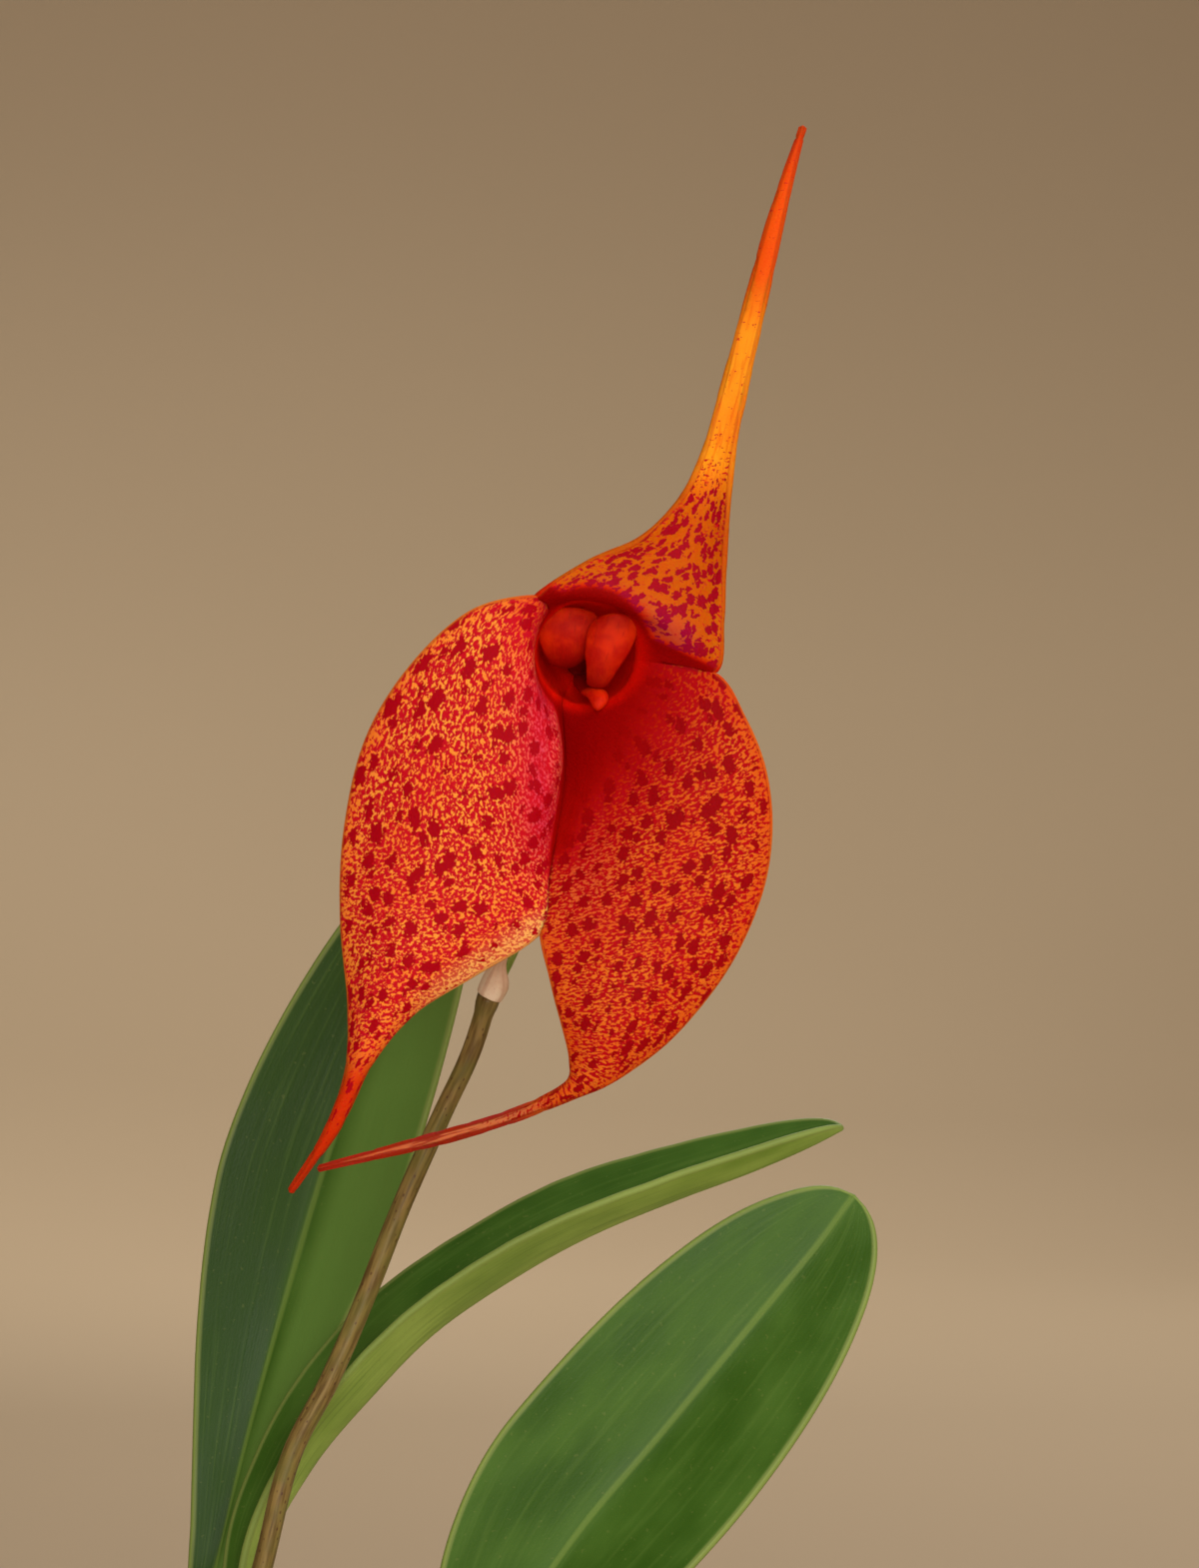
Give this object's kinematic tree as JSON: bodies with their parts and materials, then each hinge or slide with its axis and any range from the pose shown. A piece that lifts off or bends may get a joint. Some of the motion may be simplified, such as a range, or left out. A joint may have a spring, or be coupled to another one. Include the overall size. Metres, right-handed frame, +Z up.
{
  "type": "masdevallia orchid in a pot",
  "caption": "Potted masdevallia orchid: leathery upright leaves and one long-tailed, triangular, spotted orange-red flower on a thin stem, in a plain clay pot of bark.",
  "frame": {"origin": "middle of the pot's flat underside", "axes": "+Z up; the flower faces -Y; +X to the right seen from the front"},
  "size_m": [0.1094, 0.092, 0.2974],
  "materials": {
    "clay": "matt unglazed terracotta",
    "bark": "rough matt bark chips",
    "root": "matt cream and brown",
    "leaf": "leathery living leaf, waxy half-gloss, paler underneath",
    "sheath": "dry papery, matt, ribbed",
    "stem": "smooth living stem, satin olive brown",
    "bract": "thin papery, matt, pale pink",
    "ovary": "fleshy, satin, pale green",
    "calyx": "fleshy and velvety, orange with crimson spots, deep red in the throat",
    "petal": "fleshy, waxy satin, orange red"
  },
  "bodies": {
    "root": {"pot": "clay", "bark_mix": "bark", "rhizome": "root", "leaf_left": "leaf", "leaf_arching": "leaf", "leaf_right": "leaf", "sheath_left": "sheath", "sheath_arching": "sheath", "sheath_right": "sheath", "flower_stem": "stem", "stem_bract": "sheath", "floral_bract": "bract", "ovary_pedicel": "ovary", "calyx": "calyx", "column": "petal", "petal_left": "petal", "petal_right": "petal", "lip": "petal"}
  },
  "joints": []
}
